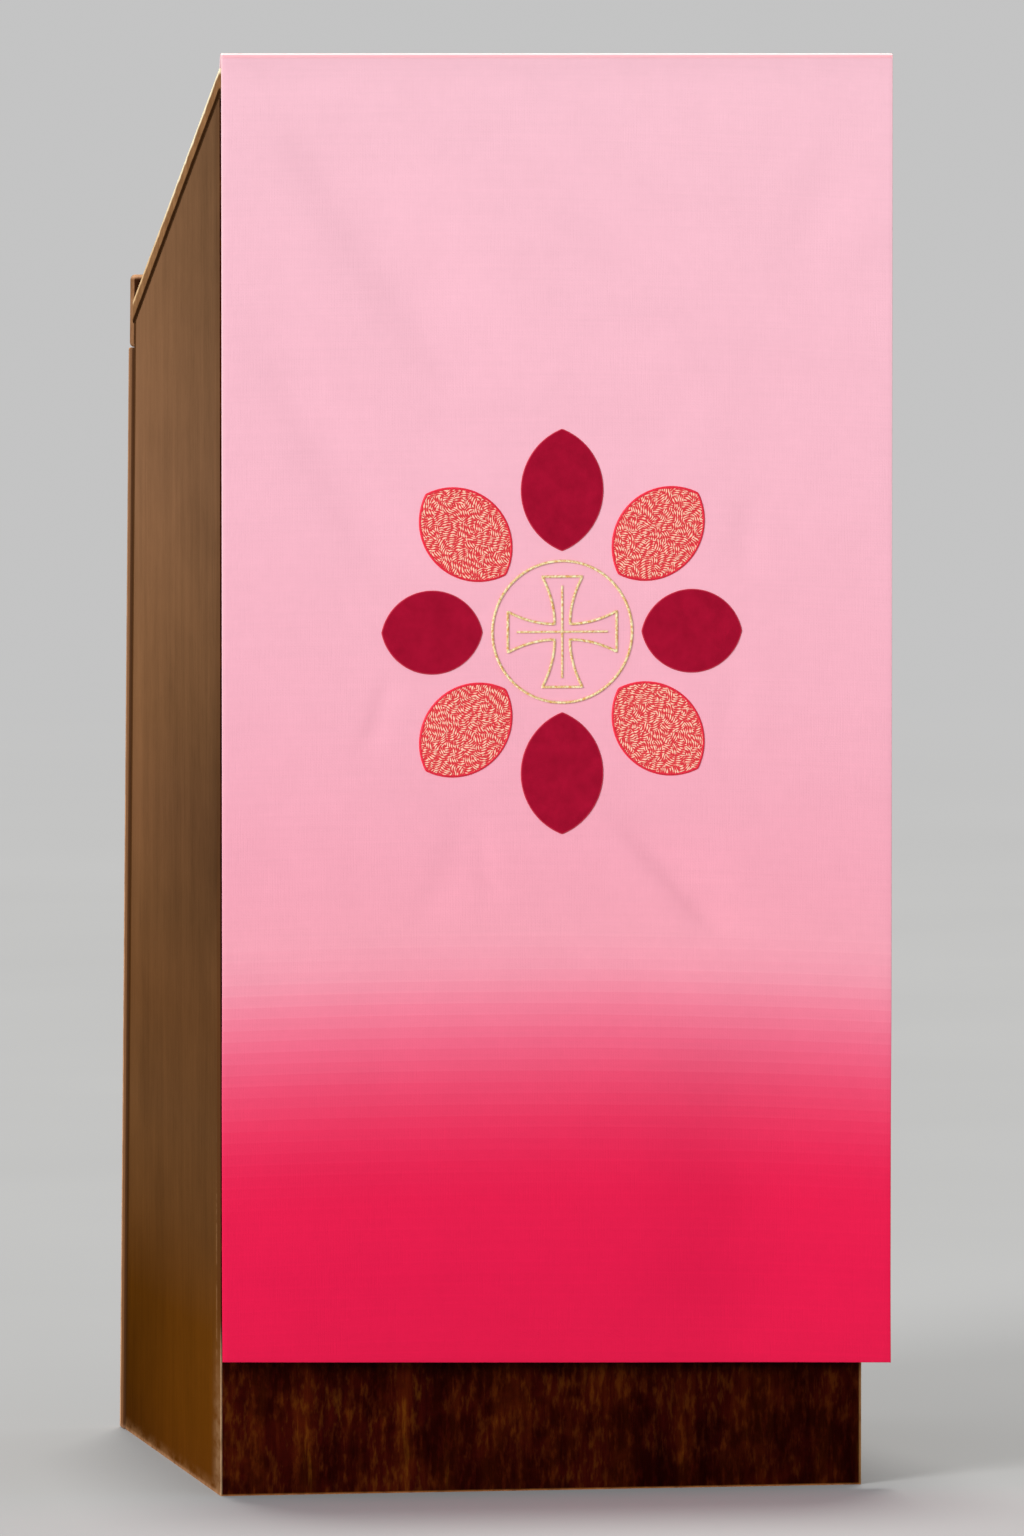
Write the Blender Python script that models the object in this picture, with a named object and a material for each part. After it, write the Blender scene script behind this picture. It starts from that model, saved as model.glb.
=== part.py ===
"""A lectern cover hung on its lectern.

The cover is one flat length of cloth. It lies on the lectern's reading slope, rolls softly over the high
front edge and hangs down the front, nearly to the floor. A rosette of eight pointed-oval patches is sewn
on its fall, round a ringed cross of couched gold cord. The lectern is a plain closed box of boards: two
sides mitred to a front, a back that leans, a base board, a sloping desk and the lip that stops a book.

Units are metres. X runs to the right of someone facing the front, Y from the front towards the reader
and Z up. The origin is the centre of the lectern's footprint, on the floor.
"""

import math

import bmesh
import bpy
import numpy as np

# ---- Driving dimensions: the lectern ----
BODY_WIDTH = 0.544          # over the two side boards
BODY_DEPTH = 0.580          # at the floor, from the front board's face to the back board's
BOARD = 0.018               # thickness of sides, front and base
BACK_THICKNESS = 0.0225
BACK_LEAN = 0.0685          # the back comes this far forward for each metre of height
BACK_TOP = 0.9453           # top edge of the back board
LIP_TOP = 1.0085            # top edge of the book lip
LIP_THICKNESS = 0.0185
DESK_ANGLE = math.radians(21.9)
DESK_THICKNESS = 0.0185
DESK_NOSE_Z = 1.1883        # height of the desk's sharp front arris, before it is rounded
DESK_FRONT_OVERHANG = 0.013
SIDE_OVERHANG = 0.0020      # the desk, lip and back stand this far past each side board
GAP = 0.0003                # between neighbouring pieces
MITRE_GAP = 0.0002          # each mitred face stands back by this much
LIP_ROUNDING = 0.004
EDGE_ROUNDING = 0.0015
CORNER_STEPS = 3            # facets on each board's half of a rounded front corner

# ---- Driving dimensions: the cover ----
CLOTH = 0.0014              # thickness
COVER_LEFT = -0.2725        # left edge, 1.5 mm inside the desk's end
COVER_WIDTH = 0.5665        # it hangs a little to the right
HEM_LEFT_Z = 0.1132         # height of the hem at the left edge
HEM_DROP = 0.0094           # the hem is this much lower at the right edge
SLOPE_LENGTH = 0.420        # from the desk's front arris to the rear hem, along the slope
FRONT_GAP = 0.002           # from the desk's front edge to the cloth
ROLL_RADIUS = 0.003         # inside radius of the roll over the front edge
ROLL_LIFT = 0.0101          # height of the cloth over the desk beside the roll
ROLL_REACH = 0.006          # the lift has faded about this far down the slope
SIDE_LIFT = 0.002           # clearance where the cloth passes the desk's right end
SIDE_REACH = 0.030
SIDE_DROOP = 0.006          # drop of the free right edge beside the slope
COLUMNS = 28
SLOPE_ROWS = 17
ROLL_ROWS = 8
FRONT_ROWS = 40

# Soft folds of the hanging cloth: upper end, lower end, half width and depth into the cloth, in metres.
#          x_top  z_top  x_low  z_low  half   depth
FOLDS = (
    (-0.285, 1.265, -0.035, 0.865, 0.038, 0.0038),
    (-0.252, 1.000, -0.130, 0.748, 0.026, 0.0018),
    (+0.286, 1.200, +0.205, 0.980, 0.020, 0.0007),
    (+0.052, 0.580, +0.168, 0.444, 0.017, 0.0034),
    (-0.058, 0.590, -0.108, 0.465, 0.017, 0.0009),
    (+0.170, 0.420, +0.180, 0.060, 0.080, 0.0085),
    (-0.290, 0.450, -0.290, 0.060, 0.055, 0.0030),
)
FOLD_START = 0.080          # the folds grow to their depth over this distance below the desk's edge

# ---- Driving dimensions: the rosette ----
MOTIF_X = 0.0138
MOTIF_Z = 0.7192
MOTIF_CALM = (0.180, 0.205)  # the sewn area keeps folds out, fully to the first radius, fading by the second
PATCH = 0.0010              # thickness of a patch and of the gold cord
PETAL_HALF_WIDTH = 0.035
PETAL_STEPS = 18            # straight facets along each of a petal's two arcs
#   name              turn from upright, inner tip, outer tip
CRIMSON_PETALS = (
    ("crimson_petal_top", 0.0, 0.067, 0.169),
    ("crimson_petal_right", 90.0, 0.067, 0.1525),
    ("crimson_petal_bottom", 180.0, 0.067, 0.169),
    ("crimson_petal_left", 270.0, 0.067, 0.1525),
)
BROCADE_PETALS = (
    ("brocade_petal_upper_right", 45.0, 0.067, 0.163),
    ("brocade_petal_lower_right", 135.0, 0.067, 0.163),
    ("brocade_petal_lower_left", 225.0, 0.067, 0.163),
    ("brocade_petal_upper_left", 315.0, 0.067, 0.163),
)
CORD_HALF = 0.0012          # half the width of the couched gold cord
THREAD_HALF = 0.0010        # half the width of the line inside the cross
RING_RADIUS = 0.0590
RING_STEPS = 72
ARM_INNER = 0.0065          # half width of a cross arm where it leaves the middle
ARM_OUTER = 0.0170          # half width at its flared end
ARM_REACH = 0.0460
ARM_STEPS = 6
THREAD_REACH = 0.0385

# ---- Worked out from the sizes above ----
FRONT_Y = -BODY_DEPTH / 2
SLOPE = math.tan(DESK_ANGLE)
DESK_DROP = DESK_THICKNESS / math.cos(DESK_ANGLE)
NOSE_Y = FRONT_Y - DESK_FRONT_OVERHANG
CLOTH_FACE_Y = NOSE_Y - FRONT_GAP - CLOTH
HALF_BODY = BODY_WIDTH / 2
HALF_DESK = HALF_BODY + SIDE_OVERHANG


def clear_scene():
    """Take away whatever objects the file starts with."""
    for thing in list(bpy.data.objects):
        bpy.data.objects.remove(thing, do_unlink=True)


def make_material(name, colour, roughness, metallic=0.0):
    """A plain finish: one colour, roughness and metallic value."""
    material = bpy.data.materials.new(name)
    material.use_nodes = True
    shader = material.node_tree.nodes["Principled BSDF"]
    shader.inputs["Base Color"].default_value = (*colour, 1.0)
    shader.inputs["Roughness"].default_value = roughness
    shader.inputs["Metallic"].default_value = metallic
    return material


def add_solid(name, points, faces, material):
    """A closed mesh from points and faces, its faces turned outwards."""
    mesh = bpy.data.meshes.new(name)
    mesh.from_pydata([tuple(point) for point in points], [], faces)
    shape = bmesh.new()
    shape.from_mesh(mesh)
    bmesh.ops.recalc_face_normals(shape, faces=shape.faces)
    shape.to_mesh(mesh)
    shape.free()
    mesh.materials.append(material)
    solid = bpy.data.objects.new(name, mesh)
    bpy.context.collection.objects.link(solid)
    return solid


def add_prism(name, lower, upper, material):
    """A board from two outlines of equally many points: its foot and its head, point above point."""
    count = len(lower)
    faces = [tuple(range(count)), tuple(range(2 * count - 1, count - 1, -1))]
    for here in range(count):
        after = (here + 1) % count
        faces.append((here, after, after + count, here + count))
    return add_solid(name, list(lower) + list(upper), faces, material)


def round_edges(solid, width, segments):
    """Take the sharp arrises off a board."""
    bevel = solid.modifiers.new("rounded arrises", "BEVEL")
    bevel.width = width
    bevel.segments = segments
    bevel.limit_method = "ANGLE"
    bevel.angle_limit = math.radians(30)


# ---- The lectern's planes ----

def desk_top_z(y):
    """Height of the reading slope at a given Y."""
    return DESK_NOSE_Z - SLOPE * (y - NOSE_Y)


def under_desk_z(y):
    """Height at which the boards below the desk stop."""
    return desk_top_z(y) - DESK_DROP - GAP


def back_inside_y(z):
    """Y of the leaning plane on the inside of the back board and of the lip."""
    return FRONT_Y + BODY_DEPTH - BACK_THICKNESS - BACK_LEAN * z


def meet_slope(setback, slope_z):
    """The point (y, z) where a plane in front of the leaning one, by setback, meets a sloping plane."""
    floor_y = back_inside_y(0.0) - setback
    z = slope_z(floor_y) / (1 - SLOPE * BACK_LEAN)
    return floor_y - BACK_LEAN * z, z


# ---- The lectern's boards ----

def rounded_corner(hand, first, last):
    """Points (x, y) round a front arris; the angle runs from 0 on the side's face to 90 on the front's."""
    angles = np.radians(np.linspace(first, last, CORNER_STEPS + 1))
    x = hand * (HALF_BODY - EDGE_ROUNDING + EDGE_ROUNDING * np.cos(angles))
    y = FRONT_Y + EDGE_ROUNDING - EDGE_ROUNDING * np.sin(angles)
    return np.stack([x, y], axis=1)


def stand_under_desk(section):
    """Foot and head of an upright board with this (x, y) section, cut off under the desk."""
    lower = [(x, y, 0.0) for x, y in section]
    upper = [(x, y, under_desk_z(y)) for x, y in section]
    return lower, upper


def make_side(name, hand, wood):
    """A side board: mitred to the front, sloped under the desk and leaning with the back."""
    outer = hand * HALF_BODY
    inner = hand * (HALF_BODY - BOARD)
    section = rounded_corner(hand, 0.0, 45.0)
    section[-1, 1] += MITRE_GAP
    lower, upper = stand_under_desk([*section, (inner, FRONT_Y + BOARD + MITRE_GAP)])
    rear_floor = back_inside_y(0.0) - GAP
    rear_top, rear_top_z = meet_slope(GAP, under_desk_z)
    lower += [(inner, rear_floor, 0.0), (outer, rear_floor, 0.0)]
    upper += [(inner, rear_top, rear_top_z), (outer, rear_top, rear_top_z)]
    return add_prism(name, lower, upper, wood)


def make_front(wood):
    """The front board, mitred to both sides."""
    left = rounded_corner(-1, 45.0, 90.0)
    right = rounded_corner(1, 90.0, 45.0)
    left[0, 0] += MITRE_GAP
    right[-1, 0] -= MITRE_GAP
    inner = HALF_BODY - BOARD - MITRE_GAP
    inside = FRONT_Y + BOARD
    lower, upper = stand_under_desk([*left, *right, (inner, inside), (-inner, inside)])
    return add_prism("front_board", lower, upper, wood)


def make_leaning_board(name, bottom, top, thickness, wood):
    """A board that leans with the back: its inside lies on the leaning plane."""
    outlines = []
    for z in (bottom, top):
        inside = back_inside_y(z)
        outside = inside + thickness
        outlines.append([
            (-HALF_DESK, inside, z),
            (HALF_DESK, inside, z),
            (HALF_DESK, outside, z),
            (-HALF_DESK, outside, z),
        ])
    return add_prism(name, *outlines, wood)


def make_base(wood):
    """The base board between the four walls, flush with their feet."""
    half = HALF_BODY - BOARD - GAP
    front = FRONT_Y + BOARD + GAP
    rear = back_inside_y(BOARD) - GAP
    section = [(-half, front), (half, front), (half, rear), (-half, rear)]
    foot, head = [[(x, y, z) for x, y in section] for z in (0.0, BOARD)]
    return add_prism("base_board", foot, head, wood)


def make_desk(wood):
    """The reading desk: a sloping board, plumb at the front, cut to the lip at its low end."""
    low_top = meet_slope(GAP, desk_top_z)
    low_under = meet_slope(GAP, lambda y: desk_top_z(y) - DESK_DROP)
    section = [(NOSE_Y, DESK_NOSE_Z - DESK_DROP), (NOSE_Y, DESK_NOSE_Z), low_top, low_under]
    ends = [[(x, y, z) for y, z in section] for x in (-HALF_DESK, HALF_DESK)]
    return add_prism("desk_board", *ends, wood)


# ---- The cover ----

def ease(value):
    """Zero below 0, one above 1, smooth between them."""
    t = np.clip(value, 0.0, 1.0)
    return t * t * (3 - 2 * t)


def fold_depth(x, z):
    """How far the soft folds draw the hanging cloth in, at each x and z."""
    depth = np.zeros_like(x)
    for x_top, z_top, x_low, z_low, half, deep in FOLDS:
        run = np.array([x_low - x_top, z_low - z_top])
        length = np.hypot(*run)
        along = ((x - x_top) * run[0] + (z - z_top) * run[1]) / length
        across = ((x - x_top) * run[1] - (z - z_top) * run[0]) / length
        ends = ease(along / (0.25 * length)) * ease((length - along) / (0.25 * length))
        depth += deep * ends * np.exp(-((across / half) ** 2))
    inner, outer = MOTIF_CALM
    away = np.hypot(x - MOTIF_X, z - MOTIF_Z)
    below_desk = DESK_NOSE_Z - DESK_DROP - z
    return depth * ease((away - inner) / (outer - inner)) * ease(below_desk / FOLD_START)


def cover_section(x):
    """The cover's underside and its outward normals, from the rear hem to the front hem.

    x is the row of column places; the result is two grids, rows by columns, of (y, z) pairs.
    Three stretches follow one another: the slope, an arc over the desk's front arris, and the fall.
    """
    up = np.array([math.sin(DESK_ANGLE), math.cos(DESK_ANGLE)])
    down_slope = np.array([math.cos(DESK_ANGLE), -math.sin(DESK_ANGLE)])
    nose = np.array([NOSE_Y, DESK_NOSE_Z])
    centre_y = NOSE_Y - FRONT_GAP + ROLL_RADIUS
    centre_z = DESK_NOSE_Z + (ROLL_LIFT - ROLL_RADIUS - (centre_y - NOSE_Y) * up[0]) / up[1]
    centre = np.array([centre_y, centre_z])
    places = []
    normals = []

    roll_start = float(np.dot(centre - nose, down_slope))
    spread = np.linspace(1.0, 0.0, SLOPE_ROWS, endpoint=False) ** 2.2
    for share in spread:
        run = roll_start + share * (SLOPE_LENGTH - roll_start)
        lift = GAP + (ROLL_LIFT - GAP) * math.exp(-(((run - roll_start) / ROLL_REACH) ** 2))
        past_end = ease((x - HALF_DESK + SIDE_REACH) / SIDE_REACH)
        height = np.maximum(lift, GAP + (SIDE_LIFT - GAP) * past_end)
        free = np.clip((x - HALF_DESK) / (COVER_LEFT + COVER_WIDTH - HALF_DESK), 0.0, 1.0)
        height = height - SIDE_DROOP * free ** 2 * ease(share / 0.25)
        places.append(nose + run * down_slope + height[:, None] * up)
        normals.append(np.tile(up, (len(x), 1)))

    turn = math.pi / 2 + DESK_ANGLE
    for step in range(ROLL_ROWS):
        angle = DESK_ANGLE - turn * step / ROLL_ROWS
        normal = np.array([math.sin(angle), math.cos(angle)])
        places.append(np.tile(centre + ROLL_RADIUS * normal, (len(x), 1)))
        normals.append(np.tile(normal, (len(x), 1)))

    hem_z = HEM_LEFT_Z - HEM_DROP * (x - COVER_LEFT) / COVER_WIDTH
    for step in range(FRONT_ROWS + 1):
        z = centre_z + (hem_z - centre_z) * step / FRONT_ROWS
        y = NOSE_Y - FRONT_GAP + fold_depth(x, z)
        places.append(np.stack([y, z], axis=1))
        normals.append(np.tile([-1.0, 0.0], (len(x), 1)))
    return np.array(places), np.array(normals)


def make_cover(cloth):
    """The cover as one closed sheet: an under and an upper grid, joined round their edge."""
    x = COVER_LEFT + np.linspace(0.0, COVER_WIDTH, COLUMNS + 1)
    under, normals = cover_section(x)
    upper = under + CLOTH * normals
    rows, columns = under.shape[:2]
    points = []
    for layer in (under, upper):
        across = np.broadcast_to(x, (rows, columns))
        points += np.dstack([across, layer]).reshape(-1, 3).tolist()

    count = rows * columns
    faces = []
    for row in range(rows - 1):
        for column in range(columns - 1):
            a = row * columns + column
            quad = (a, a + 1, a + 1 + columns, a + columns)
            faces.append(quad)
            faces.append(tuple(corner + count for corner in reversed(quad)))
    rim = [column for column in range(columns)]
    rim += [row * columns + columns - 1 for row in range(1, rows)]
    rim += [(rows - 1) * columns + column for column in range(columns - 2, -1, -1)]
    rim += [row * columns for row in range(rows - 2, 0, -1)]
    for a, b in zip(rim, rim[1:] + rim[:1]):
        faces.append((a, b, b + count, a + count))
    cover = add_solid("cover_cloth", points, faces, cloth)
    cover.data.shade_smooth()
    cover.data.set_sharp_from_angle(angle=math.radians(40))
    return cover


# ---- The rosette ----

def place_on_motif(flat, turn=0.0):
    """Turn flat (across, up) points clockwise by turn degrees and set them round the motif's centre."""
    angle = math.radians(turn)
    across = flat[:, 0] * math.cos(angle) + flat[:, 1] * math.sin(angle)
    up = flat[:, 1] * math.cos(angle) - flat[:, 0] * math.sin(angle)
    return np.stack([MOTIF_X + across, MOTIF_Z + up], axis=1)


def petal_outline(inner_tip, outer_tip):
    """A pointed oval: two equal arcs that share their ends, which lie on the upright axis."""
    half_length = (outer_tip - inner_tip) / 2
    radius = (half_length ** 2 + PETAL_HALF_WIDTH ** 2) / (2 * PETAL_HALF_WIDTH)
    sweep = math.asin(min(1.0, half_length / radius))
    angles = np.linspace(-sweep, sweep, PETAL_STEPS + 1)[:-1]
    bulge = radius * np.cos(angles) - (radius - PETAL_HALF_WIDTH)
    along = radius * np.sin(angles)
    right = np.stack([bulge, along], axis=1)
    left = np.stack([-bulge, -along], axis=1)
    outline = np.concatenate([right, left])
    outline[:, 1] += (inner_tip + outer_tip) / 2
    return outline


def on_cloth(outline, rise):
    """Flat outline points (x, z) set in front of the cloth's face by rise."""
    y = np.full(len(outline), CLOTH_FACE_Y - rise)
    return np.stack([outline[:, 0], y, outline[:, 1]], axis=1)


def make_patch(name, outline, cloth):
    """A flat patch with this outline, just in front of the cover."""
    return add_prism(name, on_cloth(outline, GAP), on_cloth(outline, GAP + PATCH), cloth)


def offset_loop(loop, distance):
    """The closed loop moved sideways by distance, with its corners kept sharp."""
    before = loop - np.roll(loop, 1, axis=0)
    after = np.roll(loop, -1, axis=0) - loop
    before /= np.linalg.norm(before, axis=1, keepdims=True)
    after /= np.linalg.norm(after, axis=1, keepdims=True)
    side_before = np.stack([before[:, 1], -before[:, 0]], axis=1)
    side_after = np.stack([after[:, 1], -after[:, 0]], axis=1)
    middle = side_before + side_after
    middle /= np.linalg.norm(middle, axis=1, keepdims=True)
    stretch = 1 / np.sum(middle * side_after, axis=1, keepdims=True)
    return loop + distance * stretch * middle


def make_cord_loop(name, loop, gold):
    """A flat band of cord laid along a closed loop of (across, up) points."""
    outer = place_on_motif(offset_loop(loop, CORD_HALF))
    inner = place_on_motif(offset_loop(loop, -CORD_HALF))
    rails = [
        on_cloth(outer, GAP),
        on_cloth(inner, GAP),
        on_cloth(inner, GAP + PATCH),
        on_cloth(outer, GAP + PATCH),
    ]
    count = len(loop)
    faces = []
    for rail in range(4):
        beside = (rail + 1) % 4
        for here in range(count):
            after = (here + 1) % count
            faces.append((
                rail * count + here,
                rail * count + after,
                beside * count + after,
                beside * count + here,
            ))
    return add_solid(name, np.concatenate(rails), faces, gold)


def ring_loop():
    """The ring's centre line, anticlockwise."""
    angles = np.linspace(0.0, 2 * math.pi, RING_STEPS, endpoint=False)
    return RING_RADIUS * np.stack([np.cos(angles), np.sin(angles)], axis=1)


def cross_loop():
    """The cross's outline, anticlockwise: four arms whose sides flare out by a square law."""
    along = np.linspace(0.0, 1.0, ARM_STEPS + 1)
    reach = ARM_INNER + (ARM_REACH - ARM_INNER) * along
    half = ARM_INNER + (ARM_OUTER - ARM_INNER) * along ** 2
    right_side = np.stack([half, reach], axis=1)
    left_side = np.stack([-half, reach], axis=1)[::-1]
    arm = np.concatenate([right_side, left_side[:-1]])
    arms = []
    for quarter in range(4):
        angle = quarter * math.pi / 2
        turn = np.array([[math.cos(angle), math.sin(angle)], [-math.sin(angle), math.cos(angle)]])
        arms.append(arm @ turn)
    return np.concatenate(arms)


def plus_outline():
    """The two crossing threads inside the cross, as one twelve-cornered outline."""
    near = THREAD_HALF
    far = THREAD_REACH
    quarter = np.array([(near, near), (near, far), (-near, far)])
    corners = []
    for step in range(4):
        angle = step * math.pi / 2
        turn = np.array([[math.cos(angle), math.sin(angle)], [-math.sin(angle), math.cos(angle)]])
        corners.append(quarter @ turn)
    return np.concatenate(corners)


def build_lectern():
    """The seven boards of the lectern."""
    side_wood = make_material("side oak", (0.150, 0.072, 0.030), 0.45)
    front_wood = make_material("front oak", (0.022, 0.006, 0.002), 0.40)
    make_side("side_board_left", -1, side_wood)
    make_side("side_board_right", 1, side_wood)
    make_front(front_wood)
    make_base(front_wood)
    back = make_leaning_board("back_board", 0.0, BACK_TOP, BACK_THICKNESS, side_wood)
    lip = make_leaning_board("book_lip", BACK_TOP + GAP, LIP_TOP, LIP_THICKNESS, side_wood)
    desk = make_desk(side_wood)
    round_edges(back, EDGE_ROUNDING, 2)
    round_edges(lip, LIP_ROUNDING, 3)
    round_edges(desk, EDGE_ROUNDING, 2)


def build_cover():
    """The cover and what is sewn on it."""
    pink = make_material("dyed weave", (0.890, 0.450, 0.560), 0.80)
    crimson = make_material("crimson patch", (0.370, 0.004, 0.026), 0.75)
    brocade = make_material("coral brocade", (0.750, 0.130, 0.110), 0.60)
    gold = make_material("gold cord", (0.850, 0.560, 0.200), 0.35, 1.0)
    make_cover(pink)
    for petals, cloth in ((CRIMSON_PETALS, crimson), (BROCADE_PETALS, brocade)):
        for name, turn, inner_tip, outer_tip in petals:
            outline = place_on_motif(petal_outline(inner_tip, outer_tip), turn)
            make_patch(name, outline, cloth)
    make_cord_loop("gold_ring", ring_loop(), gold)
    make_cord_loop("gold_cross_outline", cross_loop(), gold)
    make_patch("gold_cross_thread", place_on_motif(plus_outline()), gold)


clear_scene()
build_lectern()
build_cover()
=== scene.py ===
# %% [markdown]
# # A lectern cover on its lectern
#
# A church's lectern often wears a cover: a long flat cloth that lies on the reading slope, rolls over
# the high front edge and hangs down the front. This one is a single weave dyed in the piece, pale pink
# at the top and crimson at the hem, with a rosette of sewn patches round a cross of gold cord. Under it
# stands a plain oak lectern made of seven boards.
#
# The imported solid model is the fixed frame. Its boards are kept as they are and only get a finish. The
# cloth, the patches and the cord are worked out again here on fine grids, because a soft thing needs
# more points than a solid model has.

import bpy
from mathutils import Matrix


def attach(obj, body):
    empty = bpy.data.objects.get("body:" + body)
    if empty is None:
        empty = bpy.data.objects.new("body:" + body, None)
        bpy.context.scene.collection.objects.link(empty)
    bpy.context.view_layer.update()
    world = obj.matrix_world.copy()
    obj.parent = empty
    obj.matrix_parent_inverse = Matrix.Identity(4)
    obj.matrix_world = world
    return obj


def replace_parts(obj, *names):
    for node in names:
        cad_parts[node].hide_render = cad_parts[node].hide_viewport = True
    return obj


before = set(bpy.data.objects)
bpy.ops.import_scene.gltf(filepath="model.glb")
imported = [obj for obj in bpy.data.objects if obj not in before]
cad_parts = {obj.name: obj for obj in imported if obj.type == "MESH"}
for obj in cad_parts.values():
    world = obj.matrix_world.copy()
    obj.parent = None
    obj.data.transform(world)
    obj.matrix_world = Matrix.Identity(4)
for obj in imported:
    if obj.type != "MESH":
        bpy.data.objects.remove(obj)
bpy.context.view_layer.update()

import math

import bpy
import numpy as np

print("boards and cloth parts:", len(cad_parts))

# %% [markdown]
# ## Sizes
#
# The solid model's own sizes, in metres. X runs to the right of someone who faces the front, Y from the
# front towards the reader, and Z up.

# %% Lectern and cloth
BODY_WIDTH = 0.544
BODY_DEPTH = 0.580
FRONT_BOARD = 0.018
BACK_THICKNESS = 0.0225
BACK_LEAN = 0.0685
LIP_TOP = 1.0085
LIP_THICKNESS = 0.0185
DESK_ANGLE = math.radians(21.9)
DESK_THICKNESS = 0.0185
DESK_NOSE_Z = 1.1883
DESK_FRONT_OVERHANG = 0.013
SIDE_OVERHANG = 0.0020
GAP = 0.0003

CLOTH = 0.0014
COVER_LEFT = -0.2725
COVER_WIDTH = 0.5665
HEM_LEFT_Z = 0.1132
HEM_DROP = 0.0094
SLOPE_LENGTH = 0.420
FRONT_GAP = 0.002
ROLL_RADIUS = 0.003
ROLL_LIFT = 0.0101
ROLL_REACH = 0.006
SIDE_LIFT = 0.002
SIDE_REACH = 0.030
SIDE_DROOP = 0.006
DROOP_SHARE = 0.25  # of the slope, over which the droop sets in

FRONT_Y = -BODY_DEPTH / 2
NOSE_Y = FRONT_Y - DESK_FRONT_OVERHANG
HALF_BODY = BODY_WIDTH / 2
HALF_DESK = HALF_BODY + SIDE_OVERHANG
DESK_DROP = DESK_THICKNESS / math.cos(DESK_ANGLE)
print("front board's face at y =", FRONT_Y, " desk's front edge at y =", NOSE_Y)

# %% [markdown]
# ## Meshes from grids
#
# Every new surface below is a function of two parameters: numpy works out all its points at once as a
# grid of rows and columns, and one helper joins neighbouring points into four-sided faces. A grid can
# close on itself in either direction, which makes a tube or a ring, and its first or last row can close
# on one point, called a pole. The enclosed volume tells whether the faces point outwards, because it is
# negative when they point in.

# %% From grids to faces
def grid_faces(rows, columns, rows_close=False, columns_close=False):
    """Quads between points numbered row by row; a closing direction joins its last line to its first."""
    row = np.arange(rows if rows_close else rows - 1)
    column = np.arange(columns if columns_close else columns - 1)
    row, column = np.meshgrid(row, column, indexing="ij")
    next_row = (row + 1) % rows
    next_column = (column + 1) % columns
    corners = [
        row * columns + column,
        row * columns + next_column,
        next_row * columns + next_column,
        next_row * columns + column,
    ]
    return np.stack(corners, axis=-1).reshape(-1, 4)


def pole_faces(ring, pole):
    """Triangles from a grid's closed first row, or from its last row taken backwards, to one pole point."""
    return np.stack([np.roll(ring, -1), ring, np.full_like(ring, pole)], axis=1)


def full_turn(count):
    """Angles of a full turn in equal steps."""
    return np.linspace(0.0, math.tau, count, endpoint=False)


def is_closed(face_sets, count):
    """Whether every edge of a face is met by the same edge, run the other way, of one other face."""
    starts = np.concatenate([faces.ravel() for faces in face_sets])
    ends = np.concatenate([np.roll(faces, -1, axis=1).ravel() for faces in face_sets])
    return np.array_equal(np.sort(starts * count + ends), np.sort(ends * count + starts))


def enclosed_volume(points, faces):
    """Sum over triangles of corner . (corner x corner) / 6, which is the volume inside a closed mesh."""
    total = 0.0
    for second in range(1, faces.shape[1] - 1):
        a, b, c = (points[faces[:, corner]] for corner in (0, second, second + 1))
        total += np.einsum("ij,ij->", a, np.cross(b, c)) / 6
    return total


# %% From faces to pieces
def put(name, data):
    """A new object in the scene, at the origin."""
    new = bpy.data.objects.new(name, data)
    bpy.context.scene.collection.objects.link(new)
    return new


def put_mesh(name, points, face_sets, material):
    """A new mesh of these points and faces, in the scene."""
    mesh = bpy.data.meshes.new(name)
    mesh.from_pydata(points.tolist(), [], [face for faces in face_sets for face in faces.tolist()])
    mesh.materials.append(material)
    return put(name, mesh)


def make_piece(name, points, face_sets, material, flat=None):
    """A smooth closed mesh that rides on the lectern; flat gives each point's place in the cut cloth."""
    points = np.asarray(points, dtype=float).reshape(-1, 3)
    volume = sum(enclosed_volume(points, faces) for faces in face_sets)
    if volume < 0:
        face_sets = [faces[:, ::-1] for faces in face_sets]
    piece = put_mesh(name, points, face_sets, material)
    mesh = piece.data
    mesh.shade_smooth()
    if flat is not None:
        corners = np.empty(len(mesh.loops), dtype=np.int32)
        mesh.loops.foreach_get("vertex_index", corners)
        layer = mesh.uv_layers.new(name="flat")
        layer.data.foreach_set("uv", np.asarray(flat, dtype=np.float32).reshape(-1, 2)[corners].ravel())
    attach(piece, "root")
    triangles = sum(len(faces) * (faces.shape[1] - 2) for faces in face_sets)
    state = "closed" if is_closed(face_sets, len(points)) else "OPEN"
    print(f"{name}: {triangles} triangles, {state}, {abs(volume) * 1e6:.2f} cubic cm")
    return piece


# %% [markdown]
# ## Shader arithmetic
#
# A finish is a Principled shader fed by small sums: masks, stripes and noises that are added and
# multiplied. Written as single nodes those sums are hard to read, so a wire from a socket is wrapped in
# a small class, and `1 - mask * 0.5` adds the Math nodes by itself. All other nodes come from one method
# that sets a node's options first and its sockets after them. Whatever is the same all over a surface,
# such as the sheen of a cloth, is set directly on the shader.

# %% Wires
def combine(operation, *values):
    """One Math node on these wires and numbers."""
    finish = next(value.finish for value in values if isinstance(value, Wire))
    return finish.node("ShaderNodeMath", {"operation": operation}, dict(enumerate(values)))


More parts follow.
